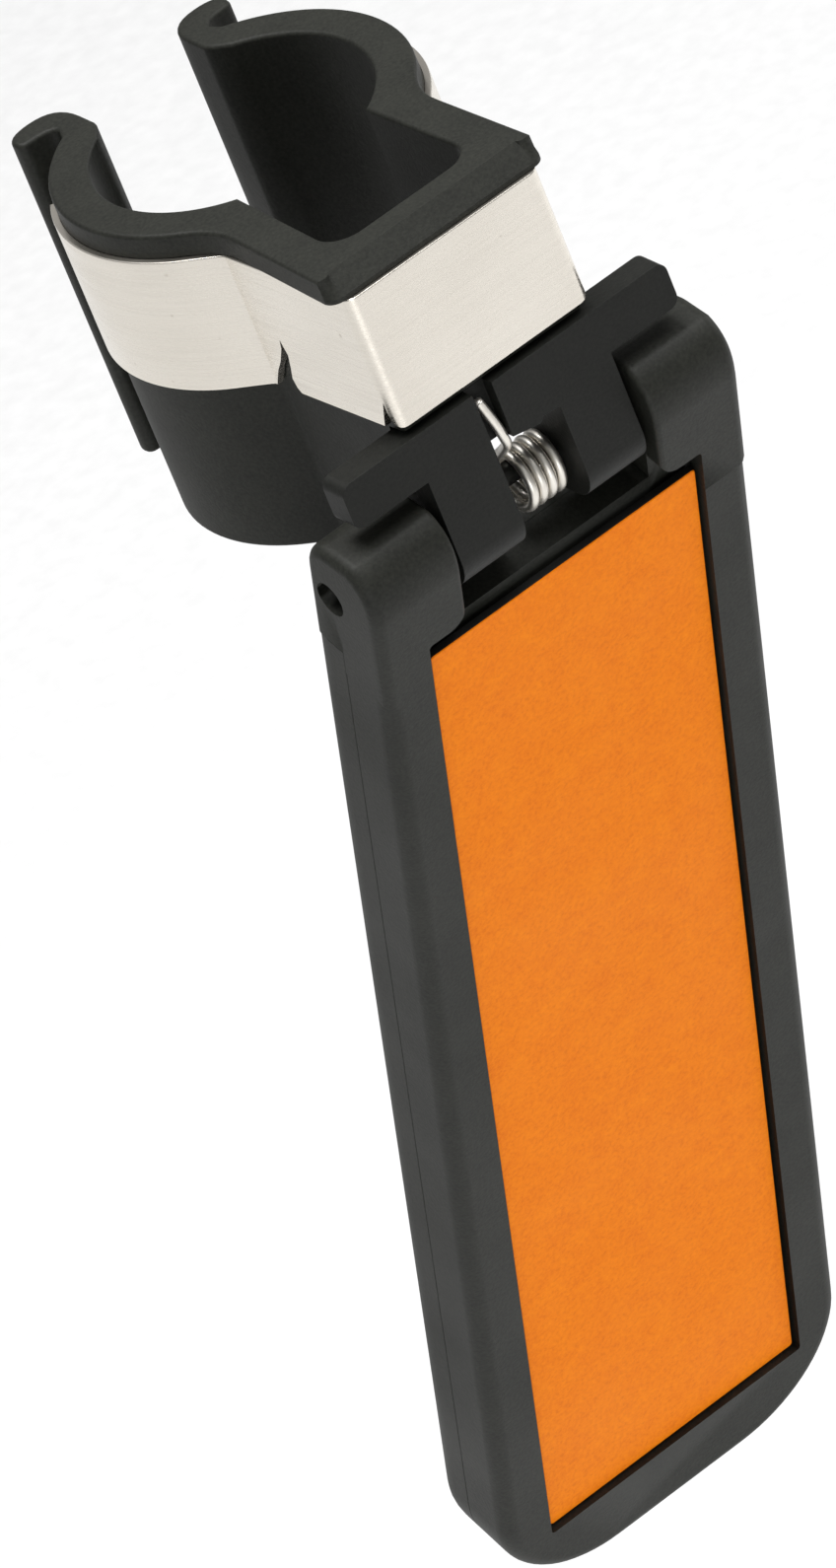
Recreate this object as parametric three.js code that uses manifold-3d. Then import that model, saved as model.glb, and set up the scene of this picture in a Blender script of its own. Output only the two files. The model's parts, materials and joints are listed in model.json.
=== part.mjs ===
// Spring clamp: a C-shaped clip with a steel band grips a round pole, and a sprung flap hinged
// to the clip's box end swings in under it.
//
// Millimetres. The origin is on the pole's axis, half-way up the clip. +Z runs up the pole,
// +Y points out of the clip's mouth and X is the width. The flap is built in its own upright
// frame, with the hinge axis at the origin, and a group leans it to its closed position.

import * as THREE from 'three';
import { mergeVertices } from 'three/addons/utils/BufferGeometryUtils.js';
import Module from 'manifold-3d';

const wasm = await Module();
wasm.setup();

// ---------- driving dimensions ----------

const GAP = 0.2;
const ARC_STEPS = 8;
const PAST = 1;
const BEYOND = 40;

const CLIP_HEIGHT = 32;
const CLIP_TOP = CLIP_HEIGHT / 2;
const CLIP_BOTTOM = -CLIP_HEIGHT / 2;
const SEAT_RADIUS = 12.5;
const CLIP_RADIUS = 15.9;
const BOX_END = 29.15;
const CHANNEL_HALF_WIDTH = 7.2;
const CHANNEL_END = 25.45;
const CHANNEL_CORNER = 2.6;
const WAIST_HALF_WIDTH = 6.8;
const NECK_ANGLE = THREE.MathUtils.degToRad(-37);
const THROAT_ANGLE = THREE.MathUtils.degToRad(55);
const THROAT_HALF_WIDTH = 5.8;
const THROAT_START = 12.6;
const LIP_TIP = 18.5;
const LIP_REACH = 11.5;
const LIP_BACK = 15.8;
const NOTCH_X = 8.2;
const NOTCH_Y = 14.7;
const LIP_ANGLE = THREE.MathUtils.degToRad(57.3);

const RIM_HEIGHT = 2.4;
const RIM_CHAMFER = 0.4;

// The outside of one half: round part, straight run down to a crease, box side and box corner.
const WALL_SIDE = {
  radius: CLIP_RADIUS,
  bendReach: 2.1,
  creaseX: 10.35,
  creaseY: -12.73,
  halfWidth: 9.5,
  end: BOX_END,
  corner: 0.4,
};
const RIM_SIDE = {
  radius: CLIP_RADIUS + 0.2,
  bendReach: 3.5,
  creaseX: 10.7,
  creaseY: -15.5,
  halfWidth: 11.05,
  end: BOX_END + 0.4,
  corner: 1.3,
};

const BAND_THICKNESS = 0.6;
const BAND_TOP = CLIP_TOP - RIM_HEIGHT - GAP;
const BAND_BOTTOM = 0.75;
const BAND_END_ANGLE = THREE.MathUtils.degToRad(34);

const HINGE_Y = -25.27;
const HINGE_Z = -11.45;
const PIN_RADIUS = 1;
const PIN_LENGTH = 36;
const PIN_HOLE_RADIUS = 1.3;
const PIN_COUNTERBORE_RADIUS = 1.65;
const PIN_COUNTERBORE_DEPTH = 1.5;

const BRACKET_FRONT = 5.05;
const BRACKET_BACK = 2.03;
const BAR_HALF_WIDTH = 17.3;
const BAR_BOTTOM = 6.95;
const BAR_TOP = 11.3;
const BARREL_RADIUS = 4.5;
const BARREL_BACK = 2.3;
const BARREL_HALF_WIDTH = 9.8;
const WINDOW_LEFT = -3.1;
const WINDOW_RIGHT = 3.7;
const WINDOW_TOP = 5.6;
const LEG_SLOT_LEFT = -3.2;
const LEG_SLOT_RIGHT = -1.15;
const LEG_SLOT_FLOOR = 3.6;
const BRACKET_STEP_GAP = 0.3;
const BRACKET_SCREW_X = 3.8;
const BRACKET_SCREW_Z = -2.3;

const WIRE_RADIUS = 0.45;
const COIL_RADIUS = 2.25;
const COIL_PITCH = 1;
const COIL_CENTRE_FRONT = 0.3;
const COIL_CENTRE_UP = -0.65;
const COIL_FRONT_X = -0.32;
const COIL_START_ANGLE = THREE.MathUtils.degToRad(-235);
const COIL_WHOLE_TURNS = 3;
const COIL_STEPS_PER_TURN = 16;
const BRACKET_LEG = [
  [-2.75, -4.4, 10.3],
  [-2.3, -4.4, 8.7],
  [-1.85, -4.4, 7],
  [-1.72, -4.35, 6],
  [-1.4, -3.95, 4.9],
  [-1.2, -2.34, 3.64],
  [-1.1, -0.7, 2.49],
];
const FLAP_LEG_LENGTH = 8.7;
const LEG_HOLE_RADIUS = 0.7;
const LEG_HOLE_DEPTH = 3.2;

const FLAP_LEAN = THREE.MathUtils.degToRad(22.9);
const COIL_END_ANGLE = COIL_WHOLE_TURNS * 2 * Math.PI + Math.PI - FLAP_LEAN;
const FLAP_HALF_WIDTH = 19.35;
const FLAP_FRONT = 6.08;
const FLAP_BACK = -3.02;
const FLAP_END = 140.45;
const FLAP_CORNER = 12.2;
const PARTING = 0.9;
const FRONT_EDGE = 1.4;
const BACK_EDGE = 0.6;
const SHELL_WALL = 2;
const CROSSBAR_TOP = 6.3;
const CROSSBAR_BOTTOM = 10.2;
const REAR_SHELL_TOP = 6.6;
const KNUCKLE_INNER = 10.5;
const KNUCKLE_BOTTOM = 6.3;
const RECESS_HALF_WIDTH = 14.7;
const RECESS_TOP = 5.1;
const RECESS_BOTTOM = 132.5;
const RECESS_FLOOR = 4.18;
const FRONT_WALL = 1.6;
const REAR_WALL = 1.5;
const PLATE_HALF_WIDTH = 14.35;
const PLATE_TOP = 7.46;
const PLATE_BOTTOM = 132.2;
const PLATE_THICKNESS = 0.8;
const TAPE_THICKNESS = 0.3;
const TAPE_MARGIN = 2;
const TAPE_GAP = 0.1;
const SHELL_SCREW_X = 11.5;
const SHELL_SCREW_ROWS = [24, 118];
const BOSS_RADIUS = 2.5;
const SCREW_SHANK_RADIUS = 0.9;
const SCREW_HOLE_RADIUS = 1.1;
const SCREW_HEAD_RADIUS = 1.9;
const SCREW_HEAD_HEIGHT = 1.1;
const SHELL_SCREW_LENGTH = 5;
const BRACKET_SCREW_LENGTH = 3.8;
const BRACKET_SCREW_HEAD_RADIUS = 1.6;

// ---------- materials ----------

const blackPlastic = () => new THREE.MeshStandardMaterial({ color: 0x32342f, roughness: 0.62, metalness: 0 });
const chromedSteel = () => new THREE.MeshStandardMaterial({ color: 0xe1dcd4, roughness: 0.16, metalness: 1 });
const springSteel = () => new THREE.MeshStandardMaterial({ color: 0xc9c6c0, roughness: 0.25, metalness: 1 });
const orangePlate = () => new THREE.MeshStandardMaterial({ color: 0xf08223, roughness: 0.5, metalness: 0.1 });
const whiteTape = () => new THREE.MeshStandardMaterial({ color: 0xe8e6df, roughness: 0.8, metalness: 0 });

// ---------- solids ----------

function solidOf(geometry) {
  const bare = geometry.clone();
  bare.deleteAttribute('normal');
  bare.deleteAttribute('uv');
  const merged = mergeVertices(bare, 1e-4);
  const mesh = new wasm.Mesh({
    numProp: 3,
    vertProperties: new Float32Array(merged.attributes.position.array),
    triVerts: new Uint32Array(merged.index.array),
  });
  return new wasm.Manifold(mesh);
}

function geometryOf(solid) {
  const mesh = solid.getMesh();
  const geometry = new THREE.BufferGeometry();
  geometry.setAttribute('position', new THREE.BufferAttribute(mesh.vertProperties, 3));
  geometry.setIndex(new THREE.BufferAttribute(mesh.triVerts, 1));
  return geometry;
}

function meshOf(name, solid, material) {
  const mesh = new THREE.Mesh(geometryOf(solid), material);
  mesh.name = name;
  return mesh;
}

function join(solids) {
  return solids.reduce((whole, next) => whole.add(next));
}

function cut(solid, cutters) {
  return cutters.reduce((rest, cutter) => rest.subtract(cutter), solid);
}

// A box between two opposite corners.
function block(low, high) {
  const size = high.map((value, axis) => value - low[axis]);
  const geometry = new THREE.BoxGeometry(...size);
  geometry.translate(...high.map((value, axis) => (value + low[axis]) / 2));
  return solidOf(geometry);
}

// A round bar along X, from one x to another, about the line through (y, z).
function barAlongX(radius, fromX, toX, y, z, sides = 32) {
  const geometry = new THREE.CylinderGeometry(radius, radius, toX - fromX, sides);
  geometry.rotateZ(Math.PI / 2);
  geometry.translate((fromX + toX) / 2, y, z);
  return solidOf(geometry);
}

// A round bar along Y; endRadius makes it a cone that ends at toY.
function barAlongY(radius, fromY, toY, x, z, endRadius = radius) {
  const geometry = new THREE.CylinderGeometry(endRadius, radius, toY - fromY, 24);
  geometry.translate(x, (fromY + toY) / 2, z);
  return solidOf(geometry);
}

// An outline in the XY plane raised along Z, its end edges chamfered or rounded by an amount.
function raise(shape, fromZ, toZ, edge = 0, edgeSteps = 1) {
  const geometry = new THREE.ExtrudeGeometry(shape, {
    depth: toZ - fromZ - 2 * edge,
    bevelEnabled: edge > 0,
    bevelThickness: edge,
    bevelSize: edge,
    bevelOffset: -edge,
    bevelSegments: edgeSteps,
  });
  geometry.translate(0, 0, fromZ + edge);
  return geometry;
}

// An outline given as (front, up) points, swept along X.
function sweepAlongX(shape, fromX, toX) {
  const geometry = new THREE.ExtrudeGeometry(shape, { depth: toX - fromX, bevelEnabled: false });
  const front = new THREE.Vector3(0, -1, 0);
  const up = new THREE.Vector3(0, 0, 1);
  const left = new THREE.Vector3(-1, 0, 0);
  geometry.applyMatrix4(new THREE.Matrix4().makeBasis(front, up, left));
  geometry.translate(toX, 0, 0);
  return solidOf(geometry);
}

function mirrored(points) {
  return points.map((point) => new THREE.Vector2(-point.x, point.y)).reverse();
}

function onCircle(radius, angle) {
  return new THREE.Vector2(radius * Math.cos(angle), radius * Math.sin(angle));
}

// ---------- clip ----------

// The outside of the clip from a point on its round part, past the neck, to the box end's middle.
function addOuterSide(path, fromAngle, side) {
  const neck = onCircle(side.radius, NECK_ANGLE);
  const bend = new THREE.Vector2(Math.sin(NECK_ANGLE), -Math.cos(NECK_ANGLE));
  bend.multiplyScalar(side.bendReach).add(neck);
  path.absarc(0, 0, side.radius, fromAngle, NECK_ANGLE, true);
  path.quadraticCurveTo(bend.x, bend.y, side.creaseX, side.creaseY);
  path.lineTo(side.halfWidth, -side.end + side.corner);
  path.quadraticCurveTo(side.halfWidth, -side.end, side.halfWidth - side.corner, -side.end);
  path.lineTo(0, -side.end);
}

// Half of the C-shaped section: out of the box channel, round the seat, over the lip and back.
function clipHalf(side) {
  const waistY = -Math.sqrt(SEAT_RADIUS ** 2 - WAIST_HALF_WIDTH ** 2);
  const waistAngle = Math.atan2(waistY, WAIST_HALF_WIDTH);
  const lipRoot = onCircle(side.radius, LIP_ANGLE);
  const path = new THREE.Path();
  path.moveTo(0, -CHANNEL_END);
  path.lineTo(CHANNEL_HALF_WIDTH - CHANNEL_CORNER, -CHANNEL_END);
  path.quadraticCurveTo(CHANNEL_HALF_WIDTH, -CHANNEL_END, CHANNEL_HALF_WIDTH, -CHANNEL_END + CHANNEL_CORNER);
  path.lineTo(WAIST_HALF_WIDTH, waistY);
  path.absarc(0, 0, SEAT_RADIUS, waistAngle, THROAT_ANGLE, false);
  path.quadraticCurveTo(THROAT_HALF_WIDTH, THROAT_START - 0.6, THROAT_HALF_WIDTH, THROAT_START);
  path.lineTo(THROAT_HALF_WIDTH, LIP_BACK - 1);
  path.quadraticCurveTo(THROAT_HALF_WIDTH, LIP_TIP, LIP_REACH - 2.5, LIP_TIP);
  path.quadraticCurveTo(LIP_REACH, LIP_TIP, LIP_REACH, LIP_BACK + 1);
  path.lineTo(LIP_REACH - 0.9, LIP_BACK);
  path.lineTo(NOTCH_X + 0.7, LIP_BACK);
  path.lineTo(NOTCH_X, NOTCH_Y);
  path.lineTo(lipRoot.x, lipRoot.y);
  addOuterSide(path, LIP_ANGLE, side);
  return path.getPoints(ARC_STEPS);
}

function clipOutline(side) {
  const half = clipHalf(side);
  return new THREE.Shape([...half, ...mirrored(half.slice(1, -1))]);
}

function makeClipBody() {
  const rimBottom = CLIP_TOP - RIM_HEIGHT;
  const wall = solidOf(raise(clipOutline(WALL_SIDE), CLIP_BOTTOM, rimBottom));
  const rim = solidOf(raise(clipOutline(RIM_SIDE), rimBottom - RIM_HEIGHT, CLIP_TOP, RIM_CHAMFER));
  const belowRim = block([-BEYOND, -BEYOND, CLIP_BOTTOM], [BEYOND, BEYOND, rimBottom]);
  const stepY = HINGE_Y - BRACKET_BACK + BRACKET_STEP_GAP;
  const stepTop = HINGE_Z + BAR_TOP + BRACKET_STEP_GAP;
  const barrelRoomY = HINGE_Y + BARREL_BACK + BRACKET_STEP_GAP;
  const barrelRoomTop = HINGE_Z + BARREL_RADIUS + BRACKET_STEP_GAP;
  const screwHoles = [-BRACKET_SCREW_X, BRACKET_SCREW_X].map((x) =>
    barAlongY(SCREW_HOLE_RADIUS, -BOX_END, -CHANNEL_END + PAST, x, BRACKET_SCREW_Z),
  );
  return cut(join([wall, rim.subtract(belowRim)]), [
    block([-BEYOND, -BEYOND, -BEYOND], [BEYOND, stepY, stepTop]),
    block([-BEYOND, -BEYOND, -BEYOND], [BEYOND, barrelRoomY, barrelRoomTop]),
    ...screwHoles,
  ]);
}

// The band's inner or outer face, from the box end's middle to its free end on the round part.
function bandHalf(offset) {
  const side = {
    radius: WALL_SIDE.radius + offset,
    bendReach: WALL_SIDE.bendReach,
    creaseX: WALL_SIDE.creaseX + offset,
    creaseY: WALL_SIDE.creaseY + offset * Math.tan(NECK_ANGLE / 2),
    halfWidth: WALL_SIDE.halfWidth + offset,
    end: WALL_SIDE.end + offset,
    corner: WALL_SIDE.corner + offset,
  };
  const start = onCircle(side.radius, BAND_END_ANGLE);
  const path = new THREE.Path();
  path.moveTo(start.x, start.y);
  addOuterSide(path, BAND_END_ANGLE, side);
  return path.getPoints(ARC_STEPS);
}

function makeSteelBand() {
  const inner = bandHalf(GAP);
  const outer = bandHalf(GAP + BAND_THICKNESS);
  const outerWay = [...outer, ...mirrored(outer.slice(0, -1))];
  const innerWay = [...inner, ...mirrored(inner.slice(0, -1))].reverse();
  return solidOf(raise(new THREE.Shape([...outerWay, ...innerWay]), BAND_BOTTOM, BAND_TOP));
}

// ---------- hinge bracket ----------

// The bracket is drawn about the hinge axis, as (front, up) outlines swept along X.
function barrelSection() {
  const shape = new THREE.Shape();
  const backAngle = -Math.PI + Math.acos(BARREL_BACK / BARREL_RADIUS);
  shape.moveTo(BARREL_RADIUS, BAR_BOTTOM + 1);
  shape.lineTo(BARREL_RADIUS, 0);
  shape.absarc(0, 0, BARREL_RADIUS, 0, backAngle, true);
  shape.lineTo(-BARREL_BACK, 2.6);
  shape.lineTo(0, 4.2);
  shape.lineTo(BRACKET_BACK, 4.4);
  shape.lineTo(BRACKET_BACK, BAR_BOTTOM + 1);
  return shape;
}

function makeHingeBracket() {
  const bar = block([-BAR_HALF_WIDTH, -BRACKET_FRONT, BAR_BOTTOM], [BAR_HALF_WIDTH, -BRACKET_BACK, BAR_TOP]);
  const barrel = sweepAlongX(barrelSection(), -BARREL_HALF_WIDTH, BARREL_HALF_WIDTH);
  const screwHoles = [-BRACKET_SCREW_X, BRACKET_SCREW_X].map((x) =>
    barAlongY(SCREW_HOLE_RADIUS, -BRACKET_FRONT + 0.8, 0, x, BRACKET_SCREW_Z - HINGE_Z),
  );
  const bracket = cut(join([bar, barrel]), [
    block([WINDOW_LEFT, -BEYOND, -BEYOND], [WINDOW_RIGHT, BEYOND, WINDOW_TOP]),
    block([LEG_SLOT_LEFT, -BEYOND, WINDOW_TOP - PAST], [LEG_SLOT_RIGHT, -LEG_SLOT_FLOOR, BEYOND]),
    barAlongX(PIN_HOLE_RADIUS, -BARREL_HALF_WIDTH - PAST, BARREL_HALF_WIDTH + PAST, 0, 0),
    ...screwHoles,
  ]);
  return bracket.translate(0, HINGE_Y, HINGE_Z);
}

function makeBracketScrew(x) {
  const headFace = -CHANNEL_END + TAPE_GAP;
  const headTop = headFace + SCREW_HEAD_HEIGHT;
  const head = barAlongY(BRACKET_SCREW_HEAD_RADIUS, headFace, headTop, x, BRACKET_SCREW_Z);
  const shank = barAlongY(
    SCREW_SHANK_RADIUS,
    headFace - BRACKET_SCREW_LENGTH,
    headFace + SCREW_HEAD_HEIGHT / 2,
    x,
    BRACKET_SCREW_Z,
  );
  return join([head, shank]);
}

// ---------- torsion spring ----------

// Where the coil's wire is at an angle about its centre, counted from the front over the top.
function onCoil(angle) {
  return new THREE.Vector3(
    COIL_FRONT_X + (COIL_PITCH * angle) / (2 * Math.PI),
    -COIL_CENTRE_FRONT - COIL_RADIUS * Math.cos(angle),
    COIL_CENTRE_UP + COIL_RADIUS * Math.sin(angle),
  );
}

// The wire comes down the bracket's slot, winds about the pin and runs straight down the flap.
function springPath() {
  const points = BRACKET_LEG.map((point) => new THREE.Vector3(...point));
  const swept = COIL_END_ANGLE - COIL_START_ANGLE;
  const steps = Math.round((swept * COIL_STEPS_PER_TURN) / (2 * Math.PI));
  for (let step = 0; step <= steps; step += 1) {
    points.push(onCoil(COIL_START_ANGLE + (swept * step) / steps));
  }
  const along = new THREE.Vector3(0, Math.sin(FLAP_LEAN), -Math.cos(FLAP_LEAN));
  for (const share of [0.25, 0.5, 0.75, 1]) {
    points.push(onCoil(COIL_END_ANGLE).addScaledVector(along, FLAP_LEG_LENGTH * share));
  }
  return new THREE.CatmullRomCurve3(points);
}

function makeTorsionSpring() {
  const section = new THREE.Shape();
  section.absarc(0, 0, WIRE_RADIUS, 0, 2 * Math.PI);
  const path = springPath();
  const steps = Math.round((path.getLength() * COIL_STEPS_PER_TURN) / (2 * Math.PI * COIL_RADIUS));
  const geometry = new THREE.ExtrudeGeometry(section, { steps, extrudePath: path, curveSegments: 8 });
  return solidOf(geometry).translate(0, HINGE_Y, HINGE_Z);
}

// ---------- flap, upright about the hinge axis ----------

// The flap seen from the front, from a top edge down to the rounded lower corners.
function flapOutline(topDown, inset) {
  const side = FLAP_HALF_WIDTH - inset;
  const end = -FLAP_END + inset;
  const corner = FLAP_CORNER - inset;
  const shape = new THREE.Shape();
  shape.moveTo(-side, -topDown);
  shape.lineTo(-side, end + corner);
  shape.absarc(-side + corner, end + corner, corner, Math.PI, 1.5 * Math.PI, false);
  shape.absarc(side - corner, end + corner, corner, 1.5 * Math.PI, 2 * Math.PI, false);
  shape.lineTo(side, -topDown);
  return shape;
}

// A front view outline given thickness, from a back depth to a front depth.
function thicken(shape, back, front, edge = 0) {
  return solidOf(raise(shape, back, front, edge, 3).rotateX(Math.PI / 2));
}

function knuckleSection() {
  const shape = new THREE.Shape();
  shape.moveTo(FLAP_FRONT, -KNUCKLE_BOTTOM - 3);
  shape.lineTo(FLAP_FRONT, 1);
  shape.quadraticCurveTo(5.9, 5.4, 2.6, 6.2);
  shape.lineTo(-0.6, 5.6);
  shape.quadraticCurveTo(FLAP_BACK, 4.8, FLAP_BACK, 2);
  shape.lineTo(FLAP_BACK, -KNUCKLE_BOTTOM);
  shape.lineTo(PARTING + GAP, -KNUCKLE_BOTTOM);
  shape.lineTo(PARTING + GAP, -KNUCKLE_BOTTOM - 3);
  return shape;
}

function shellScrewPlaces() {
  return SHELL_SCREW_ROWS.flatMap((down) => [
    { x: -SHELL_SCREW_X, z: -down },
    { x: SHELL_SCREW_X, z: -down },
  ]);
}

function makeFrontShell() {
  const ceiling = RECESS_FLOOR - FRONT_WALL;
  const frontStock = thicken(flapOutline(RECESS_TOP - 2, 0), -FLAP_FRONT, FLAP_FRONT, FRONT_EDGE);
  const behindParting = block([-BEYOND, -PARTING, -FLAP_END - PAST], [BEYOND, BEYOND, BEYOND]);
  const knuckles = [
    sweepAlongX(knuckleSection(), -FLAP_HALF_WIDTH, -KNUCKLE_INNER),
    sweepAlongX(knuckleSection(), KNUCKLE_INNER, FLAP_HALF_WIDTH),
  ];
  const bosses = shellScrewPlaces().map(({ x, z }) =>
    barAlongY(BOSS_RADIUS, -ceiling - 0.5, -(FLAP_BACK + REAR_WALL + GAP), x, z),
  );
  const bossHoles = shellScrewPlaces().map(({ x, z }) =>
    barAlongY(SCREW_HOLE_RADIUS, -ceiling, BEYOND, x, z),
  );
  const cavity = thicken(flapOutline(CROSSBAR_BOTTOM, SHELL_WALL), 0, ceiling);
  const body = cut(frontStock, [behindParting, cavity]);
  const counterbore = FLAP_HALF_WIDTH - PIN_COUNTERBORE_DEPTH;
  return cut(join([body, ...knuckles, ...bosses]), [
    block([-KNUCKLE_INNER, -BEYOND, -CROSSBAR_TOP], [KNUCKLE_INNER, BEYOND, BEYOND]),
    block([-RECESS_HALF_WIDTH, -BEYOND, -RECESS_BOTTOM], [RECESS_HALF_WIDTH, -RECESS_FLOOR, -RECESS_TOP]),
    barAlongX(PIN_HOLE_RADIUS, -BEYOND, BEYOND, 0, 0),
    barAlongX(PIN_COUNTERBORE_RADIUS, -BEYOND, -counterbore, 0, 0),
    barAlongX(PIN_COUNTERBORE_RADIUS, counterbore, BEYOND, 0, 0),
    ...bossHoles,
  ]);
}

// The blind hole in the flap's top wall that takes the spring's leg.
function legHole() {
  const leg = onCoil(COIL_END_ANGLE).applyAxisAngle(new THREE.Vector3(1, 0, 0), -FLAP_LEAN);
  const depth = LEG_HOLE_DEPTH + PAST;
  const geometry = new THREE.CylinderGeometry(LEG_HOLE_RADIUS, LEG_HOLE_RADIUS, depth, 16);
  geometry.rotateX(Math.PI / 2);
  geometry.translate(leg.x, leg.y, -REAR_SHELL_TOP + PAST - depth / 2);
  return solidOf(geometry);
}

function makeRearShell() {
  const front = PARTING - GAP;
  const stock = thicken(flapOutline(REAR_SHELL_TOP, 0), FLAP_BACK, front + 4, BACK_EDGE);
  const beforeParting = block([-BEYOND, -BEYOND, -FLAP_END - PAST], [BEYOND, -front, BEYOND]);
  const cavity = thicken(flapOutline(CROSSBAR_BOTTOM, SHELL_WALL), FLAP_BACK + REAR_WALL, front + PAST);
  const holes = shellScrewPlaces().flatMap(({ x, z }) => [
    barAlongY(SCREW_HOLE_RADIUS, 0, BEYOND, x, z),
    barAlongY(SCREW_HOLE_RADIUS, -FLAP_BACK - 1.2, -FLAP_BACK + 0.01, x, z, SCREW_HEAD_RADIUS + 0.4),
  ]);
  return cut(stock, [beforeParting, cavity, legHole(), ...holes]);
}

function makeInsertPlate() {
  const back = RECESS_FLOOR + 2 * TAPE_GAP + TAPE_THICKNESS;
  return block(
    [-PLATE_HALF_WIDTH, -back - PLATE_THICKNESS, -PLATE_BOTTOM],
    [PLATE_HALF_WIDTH, -back, -PLATE_TOP],
  );
}

function makeAdhesiveSheet() {
  const back = RECESS_FLOOR + TAPE_GAP;
  return block(
    [-PLATE_HALF_WIDTH + TAPE_MARGIN, -back - TAPE_THICKNESS, -PLATE_BOTTOM + TAPE_MARGIN],
    [PLATE_HALF_WIDTH - TAPE_MARGIN, -back, -PLATE_TOP - TAPE_MARGIN],
  );
}

function makeShellScrew({ x, z }) {
  const outside = -FLAP_BACK - 0.1;
  const head = barAlongY(SCREW_SHANK_RADIUS, outside - SCREW_HEAD_HEIGHT, outside, x, z, SCREW_HEAD_RADIUS);
  const shank = barAlongY(SCREW_SHANK_RADIUS, outside - SHELL_SCREW_LENGTH, outside - 0.3, x, z);
  return join([head, shank]);
}

function makeHingePin() {
  return barAlongX(PIN_RADIUS, -PIN_LENGTH / 2, PIN_LENGTH / 2, 0, 0, 24);
}

// ---------- assembly ----------

const clamp = new THREE.Group();
clamp.add(
  meshOf('clip_body', makeClipBody(), blackPlastic()),
  meshOf('steel_band', makeSteelBand(), chromedSteel()),
  meshOf('hinge_bracket', makeHingeBracket(), blackPlastic()),
  meshOf('bracket_screw_left', makeBracketScrew(-BRACKET_SCREW_X), springSteel()),
  meshOf('bracket_screw_right', makeBracketScrew(BRACKET_SCREW_X), springSteel()),
  meshOf('torsion_spring', makeTorsionSpring(), springSteel()),
);

const flap = new THREE.Group();
flap.position.set(0, HINGE_Y, HINGE_Z);
flap.rotation.x = FLAP_LEAN;
flap.add(
  meshOf('front_shell', makeFrontShell(), blackPlastic()),
  meshOf('rear_shell', makeRearShell(), blackPlastic()),
  meshOf('insert_plate', makeInsertPlate(), orangePlate()),
  meshOf('adhesive_sheet', makeAdhesiveSheet(), whiteTape()),
  meshOf('hinge_pin', makeHingePin(), springSteel()),
);
shellScrewPlaces().forEach((place, index) => {
  flap.add(meshOf(`shell_screw_${index + 1}`, makeShellScrew(place), springSteel()));
});
clamp.add(flap);

export default clamp;
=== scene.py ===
import json
import math

import bmesh
import bpy
from mathutils import Matrix, Vector


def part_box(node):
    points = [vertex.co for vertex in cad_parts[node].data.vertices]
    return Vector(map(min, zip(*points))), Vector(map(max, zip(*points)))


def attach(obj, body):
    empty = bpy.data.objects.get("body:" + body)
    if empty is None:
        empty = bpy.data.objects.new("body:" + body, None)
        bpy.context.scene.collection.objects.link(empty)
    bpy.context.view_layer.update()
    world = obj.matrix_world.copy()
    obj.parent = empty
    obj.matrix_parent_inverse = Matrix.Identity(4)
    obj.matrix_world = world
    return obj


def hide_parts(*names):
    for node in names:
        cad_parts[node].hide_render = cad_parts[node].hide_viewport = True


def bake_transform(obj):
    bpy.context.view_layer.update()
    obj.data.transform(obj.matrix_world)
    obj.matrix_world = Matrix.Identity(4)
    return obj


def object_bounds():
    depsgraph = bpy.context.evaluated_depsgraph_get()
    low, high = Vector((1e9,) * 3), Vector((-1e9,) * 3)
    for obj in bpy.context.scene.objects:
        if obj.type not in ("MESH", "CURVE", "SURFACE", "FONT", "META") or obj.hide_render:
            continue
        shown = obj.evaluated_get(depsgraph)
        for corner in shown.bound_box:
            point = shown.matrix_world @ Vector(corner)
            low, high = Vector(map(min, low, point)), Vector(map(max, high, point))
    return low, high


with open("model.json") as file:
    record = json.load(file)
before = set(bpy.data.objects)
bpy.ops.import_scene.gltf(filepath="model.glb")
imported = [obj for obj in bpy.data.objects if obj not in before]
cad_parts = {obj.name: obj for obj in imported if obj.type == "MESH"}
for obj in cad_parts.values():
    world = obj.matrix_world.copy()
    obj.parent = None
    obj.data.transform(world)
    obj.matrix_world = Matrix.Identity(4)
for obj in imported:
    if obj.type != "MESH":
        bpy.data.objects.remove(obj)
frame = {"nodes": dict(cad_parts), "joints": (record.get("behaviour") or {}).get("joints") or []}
cad_low, cad_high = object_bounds()

# A spring clamp: a C-shaped clip with a steel band, a hinge bracket and a sprung flap.
# Sizes are in millimetres until a piece's mesh is made. The clip is drawn about the pole's
# axis, the bracket about the hinge axis, and the flap upright about the hinge axis.

MM = 0.001
HINGE = Vector(frame["joints"][0]["pos_m"])
FLAP_LEAN = math.radians(22.9)
CLIP_PLACE = Matrix.Identity(4)
HINGE_PLACE = Matrix.Translation(HINGE)
FLAP_PLACE = HINGE_PLACE @ Matrix.Rotation(FLAP_LEAN, 4, "X")

CLIP_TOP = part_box("clip_body")[1].z / MM
CLIP_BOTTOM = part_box("clip_body")[0].z / MM
SEAT_RADIUS = 12.5
CLIP_RADIUS = 15.9
CHANNEL_HALF_WIDTH = 7.2
CHANNEL_END = 25.45
WAIST_HALF_WIDTH = 6.8
CHANNEL_CORNER = 2.6
NECK_ANGLE = math.radians(-37)
THROAT_ANGLE = math.radians(55)
THROAT_HALF_WIDTH = 5.8
THROAT_START = 12.6
THROAT_BEND = 0.6
LIP_TIP = 18.5
LIP_TIP_ROUND = 2.5
LIP_BACK_ROUND = 0.9
LIP_REACH = 11.5
LIP_BACK = 15.8
NOTCH_X = 8.2
NOTCH_Y = 14.7
LIP_ANGLE = math.radians(57.3)
RIM_HEIGHT = 2.2
RIM_EDGE = 0.4
RIM_CHAMFER_HEIGHT = 1.8
RIM_CHAMFER_DEPTH = 1.5
RIM_CHAMFER_START = 28.2
LOWER_EDGE = 0.35
CLIP_SOFTNESS = 0.15
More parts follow.
